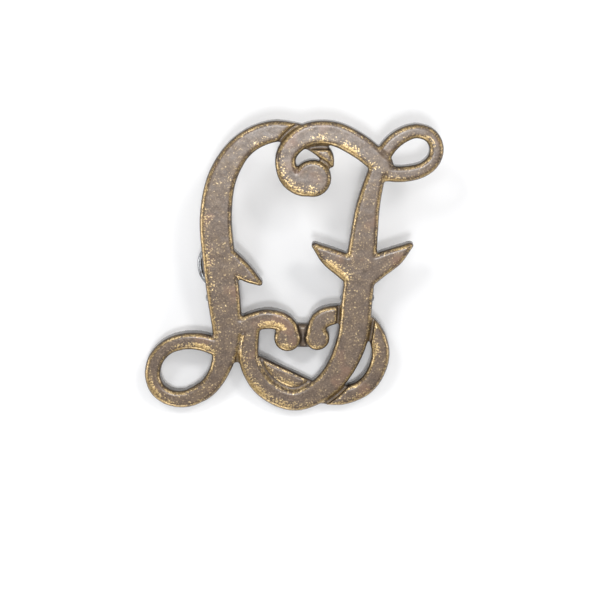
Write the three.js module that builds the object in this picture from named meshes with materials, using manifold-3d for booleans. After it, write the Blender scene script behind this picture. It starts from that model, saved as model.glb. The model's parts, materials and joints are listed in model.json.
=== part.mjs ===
// A pierced, die-struck brass cap badge: a closed scroll frame with two corner loops, tendrils and leaves.
// Its back carries two staple lugs, each soldered on two legs, with a loose split pin through it.
// Millimetres, +Z up. The badge lies face up and leans on its lugs and its bottom edge.

import * as THREE from 'three';
import { mergeVertices } from 'three/addons/utils/BufferGeometryUtils.js';
import Module from 'manifold-3d';

const wasm = await Module();
wasm.setup();

// Driving dimensions of the stamping.
const PLATE = 1.4;
const EDGE_BEVEL = 0.25;
const LEDGE_WIDTH = 0.34;
const LEDGE_DEPTH = 0.35;
const WEB_DROP = 0.2;
const HEART_WEB_DROP = 0.5;
const CURVE_STEP = 0.36;
const LEAF_TIP_RADIUS = 0.28;
const ARC_SEGMENTS = 11;
const WELD_DISTANCE = 1e-5;

// Driving dimensions of the fittings.
const LUG_WIRE = 0.6;
const LUG_WIDTH = 2.6;
const LUG_DEPTH = 2.4;
const LUG_Y = -3.0;
const LUG_CORNER = 0.7;
const PIN_WIRE = 0.5;
const PIN_LEG_PITCH = 0.6;
const PIN_EYE_WIDTH = 3.4;
const PIN_EYE_LENGTH = 4.4;
const PIN_EYE_ABOVE_LUG = 0.12;
const PIN_LEGS_BELOW_LUG = 3.7;
const PIN_EYE_WIDEST = 2.2;
const PIN_NECK_PULL = 0.6;
const PIN_SIDE_PULL = 1.3;
const PIN_CROWN_PULL = 0.7;
const SOLDER_RADIUS = 0.56;
const SOLDER_HEIGHT = 0.45;
const SOLDER_WAIST_RADIUS = 0.42;
const SOLDER_WAIST_HEIGHT = 0.18;
const SOLDER_LIP = 0.06;
const GAP = 0.03;
const WIRE_ARC_SEGMENTS = 5;
const SOLDER_SEGMENTS = 16;
const LUG_STEPS = 24;
const PIN_STEPS = 64;

// Each lug's place along X, and how far its split pin leans from the badge's upright line.
const LEFT_LUG_X = -6.2;
const RIGHT_LUG_X = 5.75;
const LEFT_PIN_LEAN = THREE.MathUtils.degToRad(12);
const RIGHT_PIN_LEAN = THREE.MathUtils.degToRad(-5);

const BRASS = new THREE.Color('#86735f');
const COPPER = new THREE.Color('#8c7355');
const STEEL = new THREE.Color('#8d8f92');
const SOLDER = new THREE.Color('#77787a');

// Ribbon centre lines: x, y and width at each point of the curve.
const ARCH_AND_STEM = [
  [1.2, 11.7, 1.7], [-1.7, 12.0, 1.9], [-4.25, 10.8, 2.1], [-6.05, 8.1, 2.5], [-6.7, 4.6, 2.8],
  [-6.5, 1.0, 2.9], [-6.05, -3.0, 2.9], [-5.85, -6.6, 2.45], [-6.6, -9.6, 1.8], [-7.8, -11.2, 1.7],
  [-9.3, -12.0, 1.6],
];
const LOWER_LOOP = [
  [-7.8, -11.2, 1.7], [-9.3, -12.0, 1.6], [-10.8, -12.0, 1.5], [-12.0, -11.25, 1.45],
  [-12.5, -9.9, 1.4], [-12.2, -8.45, 1.4], [-11.2, -7.3, 1.4], [-9.7, -6.75, 1.5],
  [-8.1, -6.8, 1.6], [-6.6, -7.3, 1.7],
];
const RIGHT_STEM = [
  [7.55, 9.2, 1.5], [7.2, 7.9, 1.7], [6.6, 5.4, 2.1], [6.2, 2.0, 2.5], [5.75, -2.6, 2.75],
  [5.2, -7.0, 2.7], [3.2, -10.6, 2.3], [0.2, -12.2, 1.95], [-2.5, -11.0, 1.9], [-3.8, -8.8, 1.8],
  [-3.85, -6.9, 1.7], [-3.5, -5.3, 1.3],
];
const UPPER_LOOP = [
  [7.9, 10.0, 1.4], [8.6, 10.95, 1.4], [9.6, 11.7, 1.35], [10.8, 12.05, 1.25], [11.95, 11.65, 1.25],
  [12.5, 10.65, 1.25], [12.3, 9.55, 1.25], [11.4, 8.7, 1.3], [9.8, 8.3, 1.4], [8.0, 8.35, 1.4],
];
const TOP_SWEEP = [
  [7.7, 9.1, 1.9], [6.0, 10.6, 2.1], [3.4, 11.85, 2.1], [1.0, 11.6, 2.0], [-0.55, 9.9, 1.8],
  [-0.25, 8.0, 1.8], [0.9, 7.05, 1.5], [2.0, 6.9, 1.0],
];
const TOP_BUD = [[0.8, 11.2, 1.1], [2.1, 10.7, 1.3], [3.0, 9.8, 1.2], [3.2, 8.8, 0.8]];
const RIGHT_ARC = [
  [5.6, -4.2, 1.2], [7.2, -5.7, 1.5], [7.85, -8.1, 1.6], [6.7, -10.7, 1.6], [4.5, -11.8, 1.6],
  [2.2, -11.8, 1.4],
];
const LEFT_TENDRIL = [
  [-5.9, -6.0, 1.2], [-4.0, -5.15, 1.7], [-2.1, -4.7, 1.8], [-0.45, -5.25, 1.6], [0.0, -6.4, 1.2],
];
const RIGHT_TENDRIL = [[5.4, -4.6, 1.4], [3.9, -4.3, 1.7], [2.5, -4.8, 1.8], [1.9, -6.1, 1.4]];
const OUTER_LEAF = [[6.0, -1.7, 1.5], [7.3, -0.1, 2.2], [9.0, 0.95, 1.7], [10.35, 1.95, 2 * LEAF_TIP_RADIUS]];
const INNER_LEAF = [[6.0, -1.7, 1.5], [4.8, -0.1, 2.2], [3.2, 0.95, 1.7], [1.95, 1.95, 2 * LEAF_TIP_RADIUS]];
const STEM_LEAF = [[-6.6, 2.0, 1.2], [-5.2, 0.4, 1.8], [-3.9, -0.7, 1.4], [-2.9, -1.4, 2 * LEAF_TIP_RADIUS]];

// Round bosses: one at the end of each tendril, and one where the stem, the sweep and the loop meet.
const TOP_BOSS = [1.75, 7.9, 1.65];
const LEFT_BOSS = [-0.45, -6.45, 1.2];
const RIGHT_BOSS = [2.2, -6.45, 1.1];
const MEETING_BOSS = [7.75, 9.05, 1.05];

// Flat pieces: the web in the bowl, the sunk web between the bosses, and the collar at the stem's foot.
const WEB = [[-3.6, -7.8], [2.6, -10.8], [0.8, -12.2], [-2.8, -11.3], [-4.2, -9.2]];
const HEART_WEB = [[-0.2, -7.4], [-0.2, -5.2], [2.2, -5.2], [2.2, -7.4]];
const COLLAR = [[-5.9, -8.7], [-3.9, -8.7], [-3.9, -7.1], [-5.9, -7.1]];

function solid(geometry) {
  const bare = geometry.clone();
  bare.deleteAttribute('normal');
  bare.deleteAttribute('uv');
  const merged = mergeVertices(bare, WELD_DISTANCE);
  const mesh = new wasm.Mesh({
    numProp: 3,
    vertProperties: new Float32Array(merged.attributes.position.array),
    triVerts: new Uint32Array(merged.index.array),
  });
  return new wasm.Manifold(mesh);
}

function geometryOf(manifold) {
  const mesh = manifold.getMesh();
  const geometry = new THREE.BufferGeometry();
  geometry.setAttribute('position', new THREE.BufferAttribute(mesh.vertProperties, 3));
  geometry.setIndex(new THREE.BufferAttribute(mesh.triVerts, 1));
  geometry.computeVertexNormals();
  return geometry;
}

// The outline of a ribbon that follows a smooth centre line, grown on all sides by a margin.
function ribbonShape(line, margin = 0) {
  const curve = new THREE.CatmullRomCurve3(line.map(([x, y, w]) => new THREE.Vector3(x, y, w)));
  const steps = Math.max(4, Math.round(curve.getLength() / CURVE_STEP));
  const left = [];
  const right = [];
  for (let i = 0; i <= steps; i += 1) {
    const point = curve.getPointAt(i / steps);
    const along = curve.getTangentAt(i / steps).setZ(0).normalize();
    const half = point.z / 2 + margin;
    const reach = i === 0 ? -margin : i === steps ? margin : 0;
    const x = point.x + along.x * reach;
    const y = point.y + along.y * reach;
    left.push(new THREE.Vector2(x - along.y * half, y + along.x * half));
    right.push(new THREE.Vector2(x + along.y * half, y - along.x * half));
  }
  return new THREE.Shape([...left, ...right.reverse()]);
}

function discShape([x, y, radius], margin = 0) {
  const shape = new THREE.Shape();
  shape.absarc(x, y, radius + margin, 0, Math.PI * 2);
  return shape;
}

function polygonShape(corners) {
  return new THREE.Shape(corners.map(([x, y]) => new THREE.Vector2(x, y)));
}

// A raised stroke of the stamping, with a bevelled front edge. Its back is trimmed flat later.
function raised(shape, top = PLATE) {
  const settings = {
    depth: top,
    bevelThickness: EDGE_BEVEL,
    bevelSize: EDGE_BEVEL,
    bevelOffset: -EDGE_BEVEL,
    bevelSegments: 1,
    curveSegments: ARC_SEGMENTS,
  };
  return solid(new THREE.ExtrudeGeometry(shape, settings).translate(0, 0, -EDGE_BEVEL));
}

// The sunk ledge that a stroke leaves in the strokes that pass under it.
function ledge(shape) {
  const settings = { depth: PLATE, bevelEnabled: false, curveSegments: ARC_SEGMENTS };
  return solid(new THREE.ExtrudeGeometry(shape, settings).translate(0, 0, PLATE - LEDGE_DEPTH));
}

function badgeFace() {
  const tipOf = (leaf) => discShape([...leaf[leaf.length - 1].slice(0, 2), LEAF_TIP_RADIUS]);
  const bodyOf = (shapes) => shapes.map((shape) => raised(shape)).reduce((a, b) => a.add(b));
  const below = new THREE.BoxGeometry(60, 60, 4).translate(0, 0, -2);

  // The arc, the collar and the right tendril pass under the right stem and its bowl.
  const underStem = [ribbonShape(RIGHT_ARC), ribbonShape(RIGHT_TENDRIL), polygonShape(COLLAR)];
  const web = raised(polygonShape(WEB), PLATE - WEB_DROP);
  let face = bodyOf(underStem).add(web).subtract(ledge(ribbonShape(RIGHT_STEM, LEDGE_WIDTH)));
  face = face.add(raised(polygonShape(HEART_WEB), PLATE - HEART_WEB_DROP));
  face = face.add(bodyOf([
    discShape(RIGHT_BOSS),
    ribbonShape(RIGHT_STEM),
    ribbonShape(UPPER_LOOP),
    ribbonShape(OUTER_LEAF),
    tipOf(OUTER_LEAF),
    ribbonShape(INNER_LEAF),
    tipOf(INNER_LEAF),
    ribbonShape(TOP_BUD),
    ribbonShape(ARCH_AND_STEM),
    ribbonShape(LOWER_LOOP),
    ribbonShape(STEM_LEAF),
    tipOf(STEM_LEAF),
    ribbonShape(LEFT_TENDRIL),
    discShape(LEFT_BOSS),
  ]));

  // The top tendril passes over the arch's end, and its boss over the bud.
  face = face.subtract(ledge(ribbonShape(TOP_SWEEP.slice(2), LEDGE_WIDTH)));
  face = face.subtract(ledge(discShape(TOP_BOSS, LEDGE_WIDTH)));
  face = face.add(bodyOf([ribbonShape(TOP_SWEEP), discShape(TOP_BOSS), discShape(MEETING_BOSS)]));
  return geometryOf(face.subtract(solid(below)));
}

function tube(path, radius, steps) {
  const section = new THREE.Shape().absarc(0, 0, radius, 0, Math.PI * 2);
  const settings = { steps, extrudePath: path, curveSegments: WIRE_ARC_SEGMENTS, bevelEnabled: false };
  return new THREE.ExtrudeGeometry(section, settings);
}

// A staple of bent wire: two legs that stand on the back of a stem, and a bridge between them.
function lug() {
  const half = (LUG_WIDTH - LUG_WIRE) / 2;
  const bridge = -LUG_DEPTH + LUG_WIRE / 2;
  const path = new THREE.CurvePath();
  const corner = (sign) => new THREE.Vector3(sign * half, 0, bridge);
  const legTop = (sign) => new THREE.Vector3(sign * half, 0, -GAP);
  const legFoot = (sign) => new THREE.Vector3(sign * half, 0, bridge + LUG_CORNER);
  const bridgeEnd = (sign) => new THREE.Vector3(sign * (half - LUG_CORNER), 0, bridge);
  path.add(new THREE.LineCurve3(legTop(-1), legFoot(-1)));
  path.add(new THREE.QuadraticBezierCurve3(legFoot(-1), corner(-1), bridgeEnd(-1)));
  path.add(new THREE.LineCurve3(bridgeEnd(-1), bridgeEnd(1)));
  path.add(new THREE.QuadraticBezierCurve3(bridgeEnd(1), corner(1), legFoot(1)));
  path.add(new THREE.LineCurve3(legFoot(1), legTop(1)));
  return tube(path, LUG_WIRE / 2, LUG_STEPS);
}

// A solder fillet: a low ring round one leg, thick against the stem and thin down the leg.
function solderFillet() {
  const inner = LUG_WIRE / 2 + GAP;
  const profile = [
    new THREE.Vector2(inner, -GAP),
    new THREE.Vector2(SOLDER_RADIUS, -GAP),
    new THREE.Vector2(SOLDER_WAIST_RADIUS, -SOLDER_WAIST_HEIGHT),
    new THREE.Vector2(inner + SOLDER_LIP, -SOLDER_HEIGHT),
    new THREE.Vector2(inner, -SOLDER_HEIGHT),
    new THREE.Vector2(inner, -GAP),
  ];
  return new THREE.LatheGeometry(profile.reverse(), SOLDER_SEGMENTS).rotateX(Math.PI / 2);
}

// A split pin of folded wire: an oval eye and two straight legs, lying along Y with its neck at the origin.
function splitPin() {
  const legX = PIN_LEG_PITCH / 2;
  const eyeHalf = (PIN_EYE_WIDTH - PIN_WIRE) / 2;
  const eyeTop = PIN_EYE_LENGTH - PIN_WIRE / 2;
  const legEnd = -(PIN_EYE_ABOVE_LUG + LUG_WIRE + PIN_LEGS_BELOW_LUG);
  const path = new THREE.CurvePath();
  const at = (x, y) => new THREE.Vector3(x, y, 0);
  const crown = at(0, eyeTop);
  const neck = (sign) => at(sign * legX, 0);
  const widest = (sign) => at(sign * eyeHalf, PIN_EYE_WIDEST);
  const neckPull = (sign) => at(sign * legX, PIN_NECK_PULL);
  const lowPull = (sign) => at(sign * eyeHalf, PIN_EYE_WIDEST - PIN_SIDE_PULL);
  const highPull = (sign) => at(sign * eyeHalf, PIN_EYE_WIDEST + PIN_SIDE_PULL);
  const crownPull = (sign) => at(sign * PIN_CROWN_PULL, eyeTop);
  path.add(new THREE.LineCurve3(at(-legX, legEnd), neck(-1)));
  path.add(new THREE.CubicBezierCurve3(neck(-1), neckPull(-1), lowPull(-1), widest(-1)));
  path.add(new THREE.CubicBezierCurve3(widest(-1), highPull(-1), crownPull(-1), crown));
  path.add(new THREE.CubicBezierCurve3(crown, crownPull(1), highPull(1), widest(1)));
  path.add(new THREE.CubicBezierCurve3(widest(1), lowPull(1), neckPull(1), neck(1)));
  path.add(new THREE.LineCurve3(neck(1), at(legX, legEnd)));
  return tube(path, PIN_WIRE / 2, PIN_STEPS);
}

function piece(name, geometry, color, roughness, metalness) {
  const mesh = new THREE.Mesh(geometry, new THREE.MeshStandardMaterial({ color, roughness, metalness }));
  mesh.name = name;
  return mesh;
}

// One lug with its two fillets and its split pin, placed on the back of a stem.
function fitting(side, x, pinLean) {
  const group = new THREE.Group();
  const legX = (LUG_WIDTH - LUG_WIRE) / 2;
  group.add(piece(`${side}_lug`, lug(), COPPER, 0.45, 0.9));
  for (const [place, sign] of [['west', -1], ['east', 1]]) {
    const fillet = piece(`${side}_lug_solder_${place}`, solderFillet(), SOLDER, 0.5, 0.8);
    fillet.position.x = sign * legX;
    group.add(fillet);
  }
  const pin = piece(`${side}_split_pin`, splitPin(), STEEL, 0.35, 1.0);
  const neck = LUG_WIRE / 2 + PIN_EYE_ABOVE_LUG;
  pin.rotation.z = pinLean;
  pin.position.set(-Math.sin(pinLean) * neck, Math.cos(pinLean) * neck, -(LUG_DEPTH - LUG_WIRE) / 2);
  group.add(pin);
  group.position.set(x, LUG_Y, 0);
  return group;
}

const badge = new THREE.Group();
badge.add(piece('badge_face', badgeFace(), BRASS, 0.5, 0.85));
badge.add(fitting('left', LEFT_LUG_X, LEFT_PIN_LEAN));
badge.add(fitting('right', RIGHT_LUG_X, RIGHT_PIN_LEAN));

// The badge leans until the round of the lug bridges and the bottom edge touch the same level.
const bounds = new THREE.Box3().setFromObject(badge.children[0]);
const bridgeDrop = LUG_DEPTH - LUG_WIRE / 2;
const edgeToLug = LUG_Y - bounds.min.y;
const reach = Math.hypot(edgeToLug, bridgeDrop);
const lean = Math.atan2(bridgeDrop, edgeToLug) + Math.asin(LUG_WIRE / 2 / reach);
badge.rotation.x = lean;

const group = new THREE.Group();
group.add(badge);
const placed = new THREE.Box3().setFromObject(group, true);
const centre = placed.getCenter(new THREE.Vector3());
badge.position.set(-centre.x, -centre.y, -placed.min.z);

export default group;
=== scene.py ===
"""A pierced brass cap badge, lying face up and leaning on the staple lugs on its back."""

import json
import math

import bpy
import numpy as np
from mathutils import Matrix, Vector, kdtree


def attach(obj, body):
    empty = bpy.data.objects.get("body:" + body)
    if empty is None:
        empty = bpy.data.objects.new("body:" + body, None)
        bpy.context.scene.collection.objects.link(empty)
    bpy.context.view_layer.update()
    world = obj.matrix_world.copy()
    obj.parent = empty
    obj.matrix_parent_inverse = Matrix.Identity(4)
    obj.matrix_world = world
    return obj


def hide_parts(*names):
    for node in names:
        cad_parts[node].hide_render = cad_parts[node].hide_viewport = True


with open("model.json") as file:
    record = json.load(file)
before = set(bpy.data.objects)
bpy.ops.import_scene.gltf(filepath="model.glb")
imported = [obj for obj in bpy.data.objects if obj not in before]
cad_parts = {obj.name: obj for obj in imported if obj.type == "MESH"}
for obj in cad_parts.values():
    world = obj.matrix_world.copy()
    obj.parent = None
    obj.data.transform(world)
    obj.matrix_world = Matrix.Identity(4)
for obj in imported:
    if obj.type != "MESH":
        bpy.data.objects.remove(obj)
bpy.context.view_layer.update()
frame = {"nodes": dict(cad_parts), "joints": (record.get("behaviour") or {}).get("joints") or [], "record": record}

# ---------------------------------------------------------------- Camera and light
# A camera on a stand looks straight down on the badge. Four soft lamps hang high round it, and three
# low ones light its walls from the left, right and front. The pale room fills in the shadows.
MM = 0.001
scene = bpy.context.scene
camera_height = 160 * MM
view_width = 54.2 * MM
view_centre = Vector((0.7 * MM, -2.9 * MM, 0))
nearest_in_view = 10 * MM
room_strength = 0.52
sky_tint = (0.99, 0.995, 1.0)
cool_tint = (0.97, 0.985, 1.0)
warm_tint = (1.0, 0.985, 0.96)
faintly_warm_tint = (1.0, 0.99, 0.97)

camera_data = bpy.data.cameras.new("camera")
camera_data.angle = 2 * math.atan(view_width / 2 / camera_height)
camera_data.clip_start = nearest_in_view
camera = bpy.data.objects.new("camera", camera_data)
camera.location = view_centre + Vector((0, 0, camera_height))
scene.collection.objects.link(camera)
scene.camera = camera
scene.view_settings.view_transform = "Standard"


def area_light(name, place, size, power, tint):
    """A soft square lamp that faces the badge. Its place and size are in metres."""
    data = bpy.data.lights.new(name, "AREA")
    data.size = size
    data.energy = power
    data.color = tint
    lamp = bpy.data.objects.new(name, data)
    lamp.location = place
    lamp.rotation_euler = (-Vector(place)).to_track_quat("-Z", "Y").to_euler()
    scene.collection.objects.link(lamp)


area_light("lamp_above", (0.02, 0.05, 0.60), 0.26, 0.50, sky_tint)
area_light("lamp_left", (-0.24, 0.27, 0.50), 0.14, 0.68, cool_tint)
area_light("lamp_right", (0.26, 0.25, 0.50), 0.12, 0.66, faintly_warm_tint)
area_light("lamp_front", (0.0, -0.145, 0.60), 0.07, 1.10, cool_tint)
area_light("lamp_low_left", (-0.48, -0.10, 0.15), 0.16, 0.60, warm_tint)
area_light("lamp_low_right", (0.48, -0.05, 0.14), 0.16, 0.40, faintly_warm_tint)
area_light("lamp_low_front", (-0.12, -0.50, 0.16), 0.16, 0.60, warm_tint)
world = bpy.data.worlds.new("room")
world.use_nodes = True
world.node_tree.nodes["Background"].inputs["Color"].default_value = (1, 1, 1, 1)
world.node_tree.nodes["Background"].inputs["Strength"].default_value = room_strength
scene.world = world


# ---------------------------------------------------------------- Paper
# The sheet of white card that the badge lies on. It isn't part of the badge, and it is wide enough
# that its edges stay out of sight.
sheet_width = 2.0


def srgb(text):
    """A linear colour from an sRGB hex value."""
    parts = [int(text[i : i + 2], 16) / 255 for i in (1, 3, 5)]
    return tuple(c / 12.92 if c <= 0.04045 else ((c + 0.055) / 1.055) ** 2.4 for c in parts) + (1,)


def add_node(tree, kind, inputs=(), stops=(), output=None, **settings):
    """Adds a shader node with its settings, and sets or links its inputs. Returns one output."""
    made = tree.nodes.new(kind)
    for key, value in settings.items():
        setattr(made, key, value)
    for key, value in dict(inputs).items():
        if isinstance(value, bpy.types.NodeSocket):
            tree.links.new(value, made.inputs[key])
        else:
            made.inputs[key].default_value = value
    for order, (position, colour) in enumerate(stops):
        elements = made.color_ramp.elements
        element = elements[order] if order < 2 else elements.new(position)
        element.position = position
        element.color = srgb(colour)
    return made.outputs[output] if output else next(o for o in made.outputs if o.enabled)


def new_material(name):
    """A node material, its node tree and its Principled shader."""
    material = bpy.data.materials.new(name)
    material.use_nodes = True
    return material, material.node_tree, material.node_tree.nodes["Principled BSDF"]


# Uncoated white card, which looks even and quite matt.
card, tree, shader = new_material("white_card")
shader.inputs["Base Color"].default_value = srgb("#ebebec")
shader.inputs["Roughness"].default_value = 0.9
shader.inputs["Specular IOR Level"].default_value = 0.1
bpy.ops.mesh.primitive_plane_add(size=sheet_width)
paper = bpy.context.object
paper.name = "paper"
paper.data.materials.append(card)


# ---------------------------------------------------------------- Badge face
# One stamping: struck from thick brass sheet, then pierced, so its strokes share one flat back. Its
# brown patina is rubbed through to bright brass along the edges, most on the edges that face down and to the left,
# where hands and cloth reach and where the bright brass also paints the highlight of the low lamps.
plate = 1.4 * MM
weld_distance = 0.001 * MM
mounts = {m["name"]: m for m in frame["record"]["mounts"]}
back_mount = mounts["left_stem_back"]
lean = math.atan2(back_mount["axis"][1], -back_mount["axis"][2])
flat_to_badge = Matrix.Translation(Vector(back_mount["pos_m"])) @ Matrix.Rotation(lean, 4, "X")
badge_to_flat = flat_to_badge.inverted()


def copy_of_node(node, name):
    """A new object with a merged copy of a CAD node's mesh."""
    made = bpy.data.objects.new(name, frame["nodes"][node].data.copy())
    scene.collection.objects.link(made)
    made.data.materials.clear()
    bpy.ops.object.select_all(action="DESELECT")
    bpy.context.view_layer.objects.active = made
    made.select_set(True)
    bpy.ops.object.mode_set(mode="EDIT")
    bpy.ops.mesh.select_all(action="SELECT")
    bpy.ops.mesh.remove_doubles(threshold=weld_distance)
    bpy.ops.object.mode_set(mode="OBJECT")
    return made


def apply_modifier(piece, kind, **settings):
    """Adds a modifier with its settings and applies it."""
    bpy.context.view_layer.objects.active = piece
    modifier = piece.modifiers.new(kind.title(), kind)
    for key, value in settings.items():
        setattr(modifier, key, value)
    bpy.ops.object.modifier_apply(modifier=modifier.name)


# The mesh has nearly as many triangles as one piece may have, and its edges are softened by wear.
face_voxel = 0.103 * MM
face = copy_of_node("badge_face", "struck_face")
face.data.transform(badge_to_flat)
apply_modifier(face, "REMESH", mode="VOXEL", voxel_size=face_voxel, use_smooth_shade=True)
apply_modifier(face, "SMOOTH", factor=0.5, iterations=4)

# Shallow dents and a slightly uneven strike.
dent_width = 0.9 * MM
dent_depth = 0.018 * MM
dents = bpy.data.textures.new("dents", "CLOUDS")
dents.noise_scale = dent_width
dents.noise_depth = 2
apply_modifier(
    face, "DISPLACE", texture=dents, texture_coords="LOCAL", strength=dent_depth, mid_level=0.5
)

# The nearest point on the rounded front edge of a stroke is found for every point of the face. The
# edge is the band at the top of the plate that neither faces the front nor is part of a wall.
edge_band = 0.3 * MM
edge_steepest = 0.25
edge_flattest = 0.86
count = len(face.data.vertices)
place = np.zeros(count * 3)
normal = np.zeros(count * 3)
face.data.vertices.foreach_get("co", place)
face.data.vertex_normals.foreach_get("vector", normal)
place = place.reshape(-1, 3)
normal = normal.reshape(-1, 3)
tilt = normal[:, 2]
is_edge = (place[:, 2] > plate - edge_band) & (tilt < edge_flattest) & (tilt > edge_steepest)
edge_points = kdtree.KDTree(int(is_edge.sum()))
for index in np.flatnonzero(is_edge):
    edge_points.insert(place[index], index)
edge_points.balance()
near = np.array([edge_points.find(point)[1] for point in place])
outward = normal[near][:, :2]
outward /= np.linalg.norm(outward, axis=1, keepdims=True) + 1e-9

# Each point keeps its distance from that edge, how far the edge faces down and to the left, where it is
# rubbed most and where bright brass also stands in as painted highlight, how much painted shade and grime
# it takes, how far it faces back, and its place on the flat stamping. The walls get painted shade and grime, and
# the sunk ledges beside a crossing stroke half as much.
# Edges facing this way get more bright brass: rubbed wear, and a painted highlight on the side the low lamps
# light.
rubbed_and_lit_way = np.array([-0.5, -0.866])
wall_tilt = 0.74
wall_blend = 0.3
ledge_depth_mm = 0.26
ledge_blend_mm = 0.07
ledge_shade_and_grime = 0.5
back_tilt = 0.3
back_blend = 0.5
# Steep walls and sunk ledges are darkened as painted shade, with some grime.
on_wall = np.clip((wall_tilt - tilt) / wall_blend, 0, 1)
sunk = np.clip(((plate - place[:, 2]) / MM - ledge_depth_mm) / ledge_blend_mm, 0, 1)
surface = {
    "edge_mm": np.linalg.norm(place - place[near], axis=1) / MM,
    "rubbed_and_lit": np.clip(outward @ rubbed_and_lit_way, 0, 1),
    "shade_and_grime": np.maximum(on_wall, ledge_shade_and_grime * sunk),
    "back": np.clip((-tilt - back_tilt) / back_blend, 0, 1),
}
for name, values in surface.items():
    face.data.attributes.new(name, "FLOAT", "POINT").data.foreach_set("value", values)
flat_place = face.data.attributes.new("flat_mm", "FLOAT_VECTOR", "POINT")
flat_place.data.foreach_set("vector", place.ravel() / MM)

# Struck brass under an old brown-grey patina. It looks dull and finely mottled, with clustered pale
# specks, a few coppery stains, and thin broken lines of bright metal where the edges are rubbed. The
# finest real grain and flecks are too small to show, so both are drawn at 0.17 mm.
grain_mm = 0.17
fleck_mm = 0.17
mottle_mm = 0.8
haze_mm = 2.2
cloud_mm = 4.5
rim_mm = 0.26
solid_rim_mm = 0.04
patch_mm = 1.5
piercing_per_mm = (6.0, 6.0, 0.4)
filing_per_mm = (0.5, 7.0, 1.0)
filing_turn = (0, 0, 0.4)
relief_depth = 0.025 * MM
brass, tree, shader = new_material("patinated_brass")
coords = add_node(tree, "ShaderNodeAttribute", attribute_name="flat_mm", output="Vector")
edge = add_node(tree, "ShaderNodeAttribute", attribute_name="edge_mm", output="Fac")
rubbed_and_lit = add_node(tree, "ShaderNodeAttribute", attribute_name="rubbed_and_lit", output="Fac")
shade_and_grime = add_node(tree, "ShaderNodeAttribute", attribute_name="shade_and_grime", output="Fac")
back_side = add_node(tree, "ShaderNodeAttribute", attribute_name="back", output="Fac")
grain = add_node(
    tree,
    "ShaderNodeTexNoise",
    {"Vector": coords, "Scale": 1 / grain_mm, "Detail": 4, "Roughness": 0.7},
)
mottle = add_node(
    tree,
    "ShaderNodeTexNoise",
    {"Vector": coords, "Scale": 1 / mottle_mm, "Detail": 5, "Roughness": 0.65},
)
cloud = add_node(tree, "ShaderNodeTexNoise", {"Vector": coords, "Scale": 1 / cloud_mm, "Detail": 3})
haze = add_node(
    tree,
    "ShaderNodeTexNoise",
    {"Vector": coords, "W": 7.0, "Scale": 1 / haze_mm, "Detail": 3},
    noise_dimensions="4D",
)
flecks = add_node(
    tree,
    "ShaderNodeTexNoise",
    {"Vector": coords, "Scale": 1 / fleck_mm, "Detail": 3, "Roughness": 0.65},
)

# The patina: grey brown drifts into warm brown, with coppery stains, over bright brass.
grey_brown = add_node(
    tree,
    "ShaderNodeValToRGB",
    {"Fac": grain},
    stops=[(0.3, "#392d24"), (0.5, "#5d4e42"), (0.7, "#877565")],
)
warm_brown = add_node(
    tree,
    "ShaderNodeValToRGB",
    {"Fac": mottle},
    stops=[(0.3, "#46372a"), (0.5, "#5f4d3c"), (0.7, "#79654c")],
)
warm_part = add_node(
    tree,
    "ShaderNodeMapRange",
    {"Value": cloud, "From Min": 0.3, "From Max": 0.7, "To Min": 0.2, "To Max": 0.7},
)
patina = add_node(
    tree, "ShaderNodeMix", {0: warm_part, 6: grey_brown, 7: warm_brown}, data_type="RGBA"
)
stain = add_node(
    tree, "ShaderNodeMapRange", {"Value": haze, "From Min": 0.56, "From Max": 0.68, "To Max": 0.35}
)
patina = add_node(
    tree, "ShaderNodeMix", {0: stain, 6: patina, 7: srgb("#8a6650")}, data_type="RGBA"
)
bright = add_node(
    tree,
    "ShaderNodeValToRGB",
    {"Fac": grain},
    stops=[(0.3, "#7c6440"), (0.5, "#a58a5b"), (0.7, "#d2bb8b")],
)

# The wear: a broken rim along the edges, wider patches where they face down and to the left, where they are
# rubbed most and also painted as a highlight, and a sprinkle of flecks all over. None of it shows where shade and
# grime are painted.
rim = add_node(
    tree,
    "ShaderNodeMapRange",
    {"Value": edge, "From Min": rim_mm, "From Max": solid_rim_mm},
    interpolation_type="SMOOTHSTEP",
)
# Edges facing down and to the left get a stronger rim, partly wear and partly painted highlight.
rim_share = add_node(
    tree, "ShaderNodeMapRange", {"Value": rubbed_and_lit, "To Min": 0.75, "To Max": 1.15}
)
rim = add_node(tree, "ShaderNodeMath", {0: rim, 1: rim_share}, operation="MULTIPLY")
gaps = add_node(
    tree,
    "ShaderNodeMapRange",
    {"Value": mottle, "From Min": 0.36, "From Max": 0.56, "To Min": 0.45, "To Max": 1.1},
)
rim = add_node(tree, "ShaderNodeMath", {0: rim, 1: gaps}, operation="MULTIPLY")
patch = add_node(
    tree,
    "ShaderNodeMapRange",
    {"Value": edge, "From Min": patch_mm, "From Max": 0.0},
    interpolation_type="SMOOTHSTEP",
)
patch = add_node(tree, "ShaderNodeMath", {0: patch, 1: rubbed_and_lit}, operation="MULTIPLY")
patch_place = add_node(
    tree,
    "ShaderNodeMapRange",
    {"Value": haze, "From Min": 0.38, "From Max": 0.62, "To Min": 0.3, "To Max": 1.2},
)
patch = add_node(tree, "ShaderNodeMath", {0: patch, 1: patch_place}, operation="MULTIPLY")
sprinkle = add_node(tree, "ShaderNodeMath", {0: cloud, 1: mottle}, operation="MULTIPLY")
sprinkle = add_node(
    tree,
    "ShaderNodeMapRange",
    {"Value": sprinkle, "From Min": 0.20, "From Max": 0.36, "To Max": 0.27},
)
cover = add_node(tree, "ShaderNodeMath", {0: rim, 1: patch}, operation="MAXIMUM")
cover = add_node(tree, "ShaderNodeMath", {0: cover, 1: sprinkle}, operation="MAXIMUM")
worn = add_node(tree, "ShaderNodeMath", {0: cover, 1: 0.34, 2: flecks}, operation="MULTIPLY_ADD")
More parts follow.
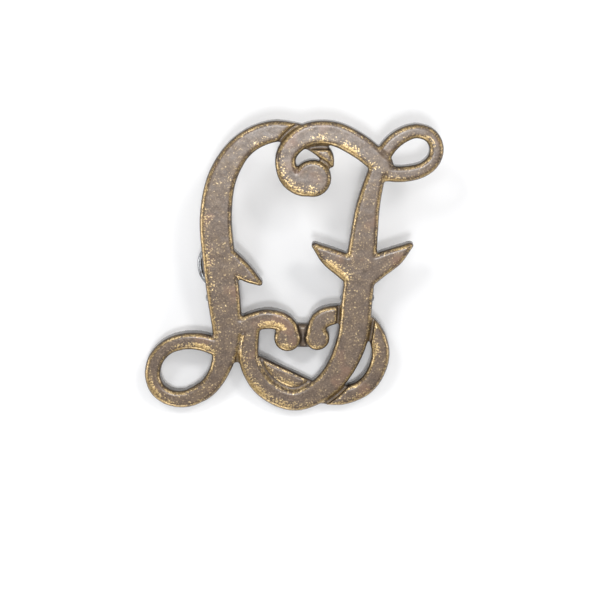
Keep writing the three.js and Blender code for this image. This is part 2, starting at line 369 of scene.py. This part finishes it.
worn = add_node(
    tree,
    "ShaderNodeMapRange",
    {"Value": worn, "From Min": 0.65, "From Max": 0.80},
    interpolation_type="SMOOTHSTEP",
)
line = add_node(
    tree, "ShaderNodeMapRange", {"Value": rim, "From Min": 0.4, "From Max": 1.0, "To Max": 0.9}
)
worn = add_node(tree, "ShaderNodeMath", {0: worn, 1: line}, operation="MAXIMUM")
# No wear shows on the painted shade and grime of the walls and ledges.
clear_of_shade_and_grime = add_node(
    tree,
    "ShaderNodeMapRange",
    {"Value": shade_and_grime, "From Min": 0.1, "From Max": 0.5, "To Min": 1, "To Max": 0},
)
worn = add_node(tree, "ShaderNodeMath", {0: worn, 1: clear_of_shade_and_grime}, operation="MULTIPLY")

# The walls and sunk ledges are painted darker, as shade with some grime, and the back is a plainer and paler
# brown.
wall_shade_and_grime = add_node(
    tree,
    "ShaderNodeValToRGB",
    {"Fac": mottle},
    stops=[(0.35, "#2c241c"), (0.6, "#483b2e"), (0.8, "#80683f")],
)
back_brown = add_node(
    tree,
    "ShaderNodeValToRGB",
    {"Fac": mottle},
    stops=[(0.3, "#5b4e3e"), (0.5, "#786750"), (0.72, "#97835d")],
)
colour = add_node(tree, "ShaderNodeMix", {0: worn, 6: patina, 7: bright}, data_type="RGBA")
colour = add_node(tree, "ShaderNodeMix", {0: shade_and_grime, 6: colour, 7: wall_shade_and_grime}, data_type="RGBA")
colour = add_node(tree, "ShaderNodeMix", {0: back_side, 6: colour, 7: back_brown}, data_type="RGBA")
metal = add_node(tree, "ShaderNodeMapRange", {"Value": worn, "To Min": 0.65, "To Max": 1.0})
gloss = add_node(tree, "ShaderNodeMapRange", {"Value": worn, "To Min": 0.48, "To Max": 0.36})
tree.links.new(colour, shader.inputs["Base Color"])
tree.links.new(metal, shader.inputs["Metallic"])
tree.links.new(gloss, shader.inputs["Roughness"])

# A thin coat gives the soft sheen of handled metal.
shader.inputs["Coat Weight"].default_value = 0.75
shader.inputs["Coat Roughness"].default_value = 0.25

# Piercing marks run down through the walls, and file marks slant across the back.
piercing = add_node(tree, "ShaderNodeMapping", {"Vector": coords, "Scale": piercing_per_mm})
piercing = add_node(tree, "ShaderNodeTexNoise", {"Vector": piercing, "Scale": 1.0, "Detail": 3})
filing = add_node(
    tree,
    "ShaderNodeMapping",
    {"Vector": coords, "Scale": filing_per_mm, "Rotation": filing_turn},
)
filing = add_node(tree, "ShaderNodeTexNoise", {"Vector": filing, "Scale": 1.0, "Detail": 4})
height = add_node(tree, "ShaderNodeMix", {0: shade_and_grime, 2: grain, 3: piercing})
height = add_node(tree, "ShaderNodeMix", {0: back_side, 2: height, 3: filing})
bump = add_node(
    tree, "ShaderNodeBump", {"Height": height, "Strength": 0.45, "Distance": relief_depth}
)
tree.links.new(bump, shader.inputs["Normal"])

face.data.materials.append(brass)
face.data.transform(flat_to_badge)
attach(face, "badge")
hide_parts("badge_face")

# ---------------------------------------------------------------- Staple lugs
# Two staples of drawn copper-alloy wire. Each stands on two legs behind a stem, and its bridge is the
# eye that a split pin goes through. The legs stop just short of the stem, where solder holds them.
lug_wire = 0.6 * MM
lug_width = 2.6 * MM
lug_depth = 2.4 * MM
lug_bend = 0.7 * MM
leg_gap = 0.03 * MM
wire_round_steps = 10
wire_path_steps = 16


def placed_by(mount_name, turn=0.0):
    """The frame of a lug: its origin in the eye, X across, Y up the badge and Z towards the face."""
    eye = Matrix.Translation(mounts[mount_name]["pos_m"])
    return eye @ Matrix.Rotation(lean, 4, "X") @ Matrix.Rotation(turn, 4, "Z")


def wire_piece(name, points, radius):
    """A round wire along a smooth path. Each point is its place and the two handles beside it."""
    bpy.ops.object.select_all(action="DESELECT")
    bpy.ops.curve.primitive_bezier_curve_add()
    curve = bpy.context.object.data
    curve.bevel_depth = radius
    curve.bevel_resolution = wire_round_steps
    curve.resolution_u = wire_path_steps
    curve.use_fill_caps = True
    wire = curve.splines[0].bezier_points
    wire.add(len(points) - 2)
    for knot, (co, before, after) in zip(wire, points):
        knot.handle_left_type = "FREE"
        knot.handle_right_type = "FREE"
        knot.co = co
        knot.handle_left = before
        knot.handle_right = after
    bpy.ops.object.convert(target="MESH")
    piece = bpy.context.object
    piece.name = name
    return piece


# Drawn copper-alloy wire, tarnished brown, with the orange of bare metal where it was bent and
# handled. Its scuffs are drawn coarser than the real ones, which are too fine to show.
tarnish_mm = 0.5
scuff_mm = 0.12
scuff_depth = 0.02 * MM
copper, tree, shader = new_material("drawn_copper_alloy_wire")
coords = add_node(tree, "ShaderNodeTexCoord", output="Object")
tarnish = add_node(
    tree, "ShaderNodeTexNoise", {"Vector": coords, "Scale": 1 / (tarnish_mm * MM), "Detail": 4}
)
scuffs = add_node(
    tree, "ShaderNodeTexNoise", {"Vector": coords, "Scale": 1 / (scuff_mm * MM), "Detail": 3}
)
tone = add_node(
    tree,
    "ShaderNodeValToRGB",
    {"Fac": tarnish},
    stops=[(0.3, "#4b3a2a"), (0.52, "#7d5f3f"), (0.74, "#b08a58")],
)
gloss = add_node(
    tree,
    "ShaderNodeMapRange",
    {"Value": tarnish, "From Min": 0.3, "From Max": 0.7, "To Min": 0.55, "To Max": 0.32},
)
marks = add_node(
    tree, "ShaderNodeBump", {"Height": scuffs, "Strength": 0.35, "Distance": scuff_depth}
)
tree.links.new(tone, shader.inputs["Base Color"])
tree.links.new(gloss, shader.inputs["Roughness"])
tree.links.new(marks, shader.inputs["Normal"])
shader.inputs["Metallic"].default_value = 1.0

for side_name in ("left", "right"):
    half = (lug_width - lug_wire) / 2
    eye_to_back = (lug_depth - lug_wire) / 2
    bridge = eye_to_back - lug_depth + lug_wire / 2
    top = eye_to_back - leg_gap
    legs = []
    for sign in (-1, 1):
        leg_top = Vector((sign * half, 0, top))
        leg_foot = Vector((sign * half, 0, bridge + lug_bend))
        bridge_end = Vector((sign * (half - lug_bend), 0, bridge))
        down = Vector((0, 0, -0.5 * lug_bend))
        across = Vector((-sign * 0.5 * lug_bend, 0, 0))
        legs.append([
            (leg_top, leg_top - down, leg_top + down),
            (leg_foot, leg_foot - down, leg_foot + down),
            (bridge_end, bridge_end - across, bridge_end + across),
        ])
    back_up = [(co, after, before) for co, before, after in reversed(legs[1])]
    lug = wire_piece(f"{side_name}_staple", legs[0] + back_up, lug_wire / 2)
    lug.data.transform(placed_by(f"{side_name}_lug_eye"))
    lug.data.materials.clear()
    lug.data.materials.append(copper)
    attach(lug, "badge")
    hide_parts(f"{side_name}_lug")

# ---------------------------------------------------------------- Solder fillets
# Four small fillets of soft solder, one round each leg of each staple. The solder was run into the
# corner between the leg and the stem and set there, so it is smooth, rounded and a little lumpy.
fillet_voxel = 0.04 * MM
lump_mm = 0.35
lump_height = 0.05 * MM

# Soft solder, dull grey and lumpy, with a low shine.
lead, tree, shader = new_material("soft_solder")
coords = add_node(tree, "ShaderNodeTexCoord", output="Object")
lumps = add_node(
    tree, "ShaderNodeTexNoise", {"Vector": coords, "Scale": 1 / (lump_mm * MM), "Detail": 4}
)
tone = add_node(
    tree,
    "ShaderNodeValToRGB",
    {"Fac": lumps},
    stops=[(0.3, "#4e4f52"), (0.55, "#77797b"), (0.75, "#a0a1a2")],
)
puddle = add_node(
    tree, "ShaderNodeBump", {"Height": lumps, "Strength": 0.5, "Distance": lump_height}
)
tree.links.new(tone, shader.inputs["Base Color"])
tree.links.new(puddle, shader.inputs["Normal"])
shader.inputs["Metallic"].default_value = 0.9
shader.inputs["Roughness"].default_value = 0.45

for side_name in ("left", "right"):
    for place_name in ("west", "east"):
        node_name = f"{side_name}_lug_solder_{place_name}"
        fillet = copy_of_node(node_name, f"{side_name}_fillet_{place_name}")
        apply_modifier(
            fillet, "REMESH", mode="VOXEL", voxel_size=fillet_voxel, use_smooth_shade=True
        )
        apply_modifier(fillet, "SMOOTH", factor=0.5, iterations=3)
        fillet.data.materials.append(lead)
        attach(fillet, "badge")
        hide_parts(node_name)

# ---------------------------------------------------------------- Split pins
# A loose split pin of folded steel wire goes through each lug behind the cloth. Its rounded eye is
# too wide to follow its legs through the lug, and it draws out upwards.
pin_wire = 0.5 * MM
pin_pitch = 0.6 * MM
eye_width = 3.4 * MM
eye_length = 4.4 * MM
eye_widest_at = 2.2 * MM
neck_gap = 0.12 * MM
leg_past_lug = 3.7 * MM
leg_pull = 0.6 * MM
eye_side_pull = 1.302 * MM
crown_pull = 0.7 * MM
neck = lug_wire / 2 + neck_gap
leg_length = neck + lug_wire / 2 + leg_past_lug
joints = {j["child"]: j for j in frame["joints"]}

# Bright drawn steel wire, gone grey, with a few darker spots where it has started to rust. The real
# marks of drawing are too fine to show, so these are coarser.
drawn_mm = 0.15
spot_mm = 0.7
drawn_depth = 0.015 * MM
steel, tree, shader = new_material("bright_steel_wire")
coords = add_node(tree, "ShaderNodeTexCoord", output="Object")
drawn = add_node(
    tree, "ShaderNodeTexNoise", {"Vector": coords, "Scale": 1 / (drawn_mm * MM), "Detail": 3}
)
spots = add_node(
    tree, "ShaderNodeTexNoise", {"Vector": coords, "Scale": 1 / (spot_mm * MM), "Detail": 4}
)
tone = add_node(
    tree,
    "ShaderNodeValToRGB",
    {"Fac": drawn},
    stops=[(0.3, "#6f7174"), (0.55, "#9b9da0"), (0.75, "#b9babc")],
)
rust = add_node(
    tree, "ShaderNodeMapRange", {"Value": spots, "From Min": 0.57, "From Max": 0.68, "To Max": 0.7}
)
tone = add_node(tree, "ShaderNodeMix", {0: rust, 6: tone, 7: srgb("#54453a")}, data_type="RGBA")
gloss = add_node(tree, "ShaderNodeMapRange", {"Value": rust, "To Min": 0.32, "To Max": 0.6})
marks = add_node(
    tree, "ShaderNodeBump", {"Height": drawn, "Strength": 0.3, "Distance": drawn_depth}
)
tree.links.new(tone, shader.inputs["Base Color"])
tree.links.new(gloss, shader.inputs["Roughness"])
tree.links.new(marks, shader.inputs["Normal"])
shader.inputs["Metallic"].default_value = 1.0

for side_name in ("left", "right"):
    axis = joints[f"{side_name}_pin"]["axis"]
    turn = -math.asin(axis[0])
    leg_x = pin_pitch / 2
    eye_x = (eye_width - pin_wire) / 2
    up = Vector((0, leg_pull, 0))
    up_the_eye = Vector((0, eye_side_pull, 0))
    across = Vector((crown_pull, 0, 0))
    sides = []
    for sign in (-1, 1):
        leg_end = Vector((sign * leg_x, neck - leg_length, 0))
        leg_top = Vector((sign * leg_x, neck, 0))
        eye_side = Vector((sign * eye_x, neck + eye_widest_at, 0))
        sides.append([
            (leg_end, leg_end - up, leg_end + up),
            (leg_top, leg_top - up, leg_top + up),
            (eye_side, eye_side - up_the_eye, eye_side + up_the_eye),
        ])
    crown = Vector((0, neck + eye_length - pin_wire / 2, 0))
    over_the_crown = [(crown, crown - across, crown + across)]
    back_down = [(co, after, before) for co, before, after in reversed(sides[1])]
    pin = wire_piece(
        f"{side_name}_pin_wire", sides[0] + over_the_crown + back_down, pin_wire / 2
    )
    pin.data.transform(placed_by(f"{side_name}_lug_eye", turn))
    pin.data.materials.clear()
    pin.data.materials.append(steel)
    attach(pin, f"{side_name}_pin")
    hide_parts(f"{side_name}_split_pin")
